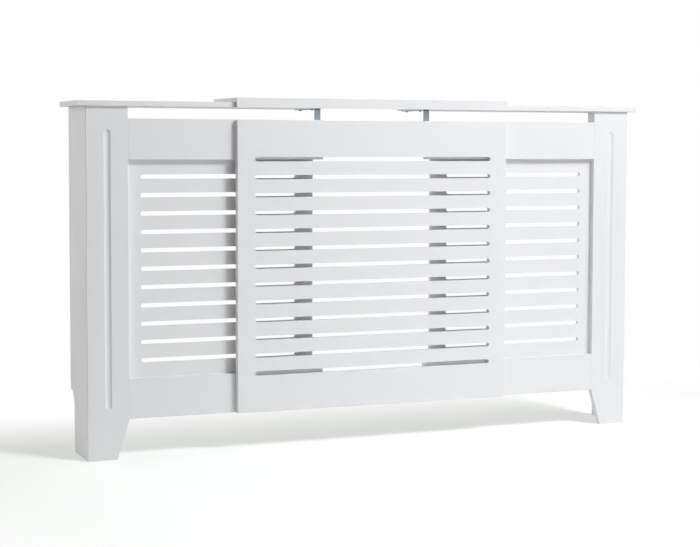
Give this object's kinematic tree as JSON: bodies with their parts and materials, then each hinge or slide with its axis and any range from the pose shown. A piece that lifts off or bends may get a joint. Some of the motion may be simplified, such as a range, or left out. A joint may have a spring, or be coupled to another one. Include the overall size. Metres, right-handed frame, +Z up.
{
  "type": "radiator cover cabinet",
  "caption": "White painted radiator cover with slotted grilles, set in width by two half covers that slide behind a slotted centre panel and under a loose cap board.",
  "frame": {"origin": "on the floor, in the middle of the cover's width over the side tops and of its depth from the cap's front to the wall", "axes": "+X to the right seen from the front, +Y from the front to the wall, +Z up; the front faces -Y"},
  "size_m": [1.449, 0.1904, 0.8253],
  "materials": {
    "painted_board": "smooth satin white paint on fibreboard",
    "zinc_steel": "bright zinc plate",
    "zinc_screw": "bright zinc plate",
    "cast_zinc": "dull cast zinc",
    "brass_insert": "machined",
    "beech_dowel": "bare fluted beech"
  },
  "bodies": {
    "centre_section": {"centre_panel": "painted_board", "top_keeper": "painted_board", "low_keeper": "painted_board", "top_spacer": "painted_board", "low_spacer": "painted_board", "keeper_screws": "zinc_screw"},
    "left_section": {"left_post": "painted_board", "left_top_rail": "painted_board", "left_low_rail": "painted_board", "left_grille": "painted_board", "left_end_panel": "painted_board", "left_top_board": "painted_board", "left_top_bracket": "zinc_steel", "left_bracket_screws": "zinc_screw", "left_grille_screws": "zinc_screw", "left_wall_bracket": "zinc_steel", "left_wall_bracket_screws": "zinc_screw", "left_frame_dowels": "beech_dowel", "left_frame_cams": "cast_zinc", "left_frame_cam_bolts": "zinc_screw", "left_side_dowels": "beech_dowel", "left_side_cams": "cast_zinc", "left_side_cam_bolts": "zinc_screw", "left_rail_inserts": "brass_insert", "left_wing_washers": "zinc_steel", "left_wing_bolts": "zinc_steel"},
    "right_section": {"right_post": "painted_board", "right_top_rail": "painted_board", "right_low_rail": "painted_board", "right_grille": "painted_board", "right_end_panel": "painted_board", "right_top_board": "painted_board", "right_top_bracket": "zinc_steel", "right_bracket_screws": "zinc_screw", "right_grille_screws": "zinc_screw", "right_wall_bracket": "zinc_steel", "right_wall_bracket_screws": "zinc_screw", "right_frame_dowels": "beech_dowel", "right_frame_cams": "cast_zinc", "right_frame_cam_bolts": "zinc_screw", "right_side_dowels": "beech_dowel", "right_side_cams": "cast_zinc", "right_side_cam_bolts": "zinc_screw", "right_rail_inserts": "brass_insert", "right_wing_washers": "zinc_steel", "right_wing_bolts": "zinc_steel"},
    "cap": {"cap_board": "painted_board", "cap_lip": "painted_board"}
  },
  "joints": [
    {"name": "left_width_slide", "type": "slide", "parent": "centre_section", "child": "left_section", "axis": [-1, 0, 0], "range_m": [-0.1, 0.156]},
    {"name": "right_width_slide", "type": "slide", "parent": "centre_section", "child": "right_section", "axis": [1, 0, 0], "range_m": [-0.106, 0.15]},
    {"name": "cap_slide", "type": "slide", "parent": "centre_section", "child": "cap", "axis": [1, 0, 0], "range_m": [-0.05, 0.05]}
  ]
}
